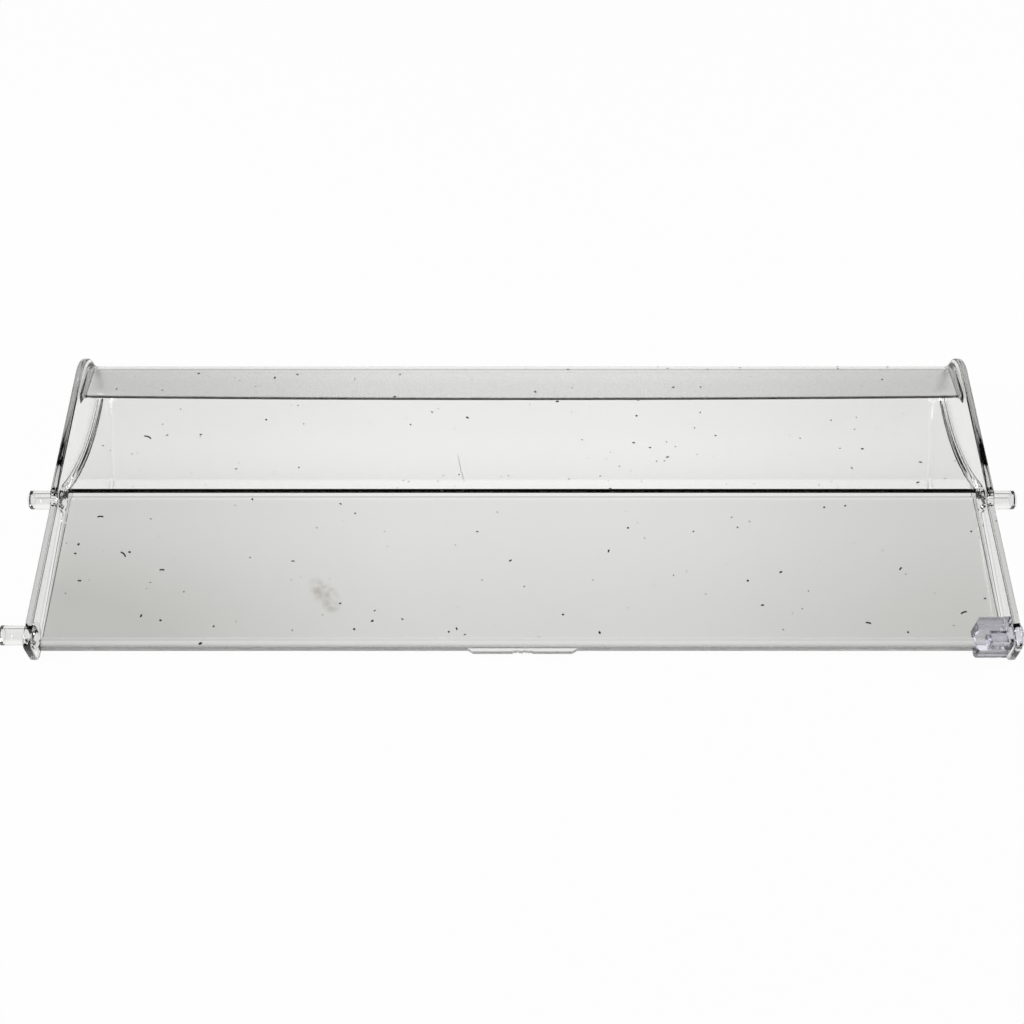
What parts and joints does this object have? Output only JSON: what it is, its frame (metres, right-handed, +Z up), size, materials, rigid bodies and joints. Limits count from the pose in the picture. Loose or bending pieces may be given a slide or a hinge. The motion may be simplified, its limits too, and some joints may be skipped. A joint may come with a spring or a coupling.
{
  "type": "freezer compartment flap",
  "caption": "Clear moulded freezer compartment flap with a flat lower panel, a hollow scoop with a rolled grip, end cheeks with pivot pins and a sliding pivot bolt.",
  "frame": {"origin": "on the surface the flap lies on, under the middle of its bounding box", "axes": "+X along the flap to the side with the bolt, +Y from the bead to the grip, +Z up out of the front of the flap as it lies on its back"},
  "size_m": [0.485, 0.1748, 0.0357],
  "materials": {
    "clear_plastic": "clear, polished, the grip lip frosted",
    "milky_plastic": "translucent, slightly bluish"
  },
  "bodies": {
    "flap": {"flap_body": "clear_plastic"},
    "bolt": {"pivot_bolt": "milky_plastic"}
  },
  "joints": [
    {"name": "pivot_bolt_slide", "type": "slide", "parent": "flap", "child": "bolt", "axis": [-1, 0, 0], "range_m": [0, 0.011]}
  ]
}
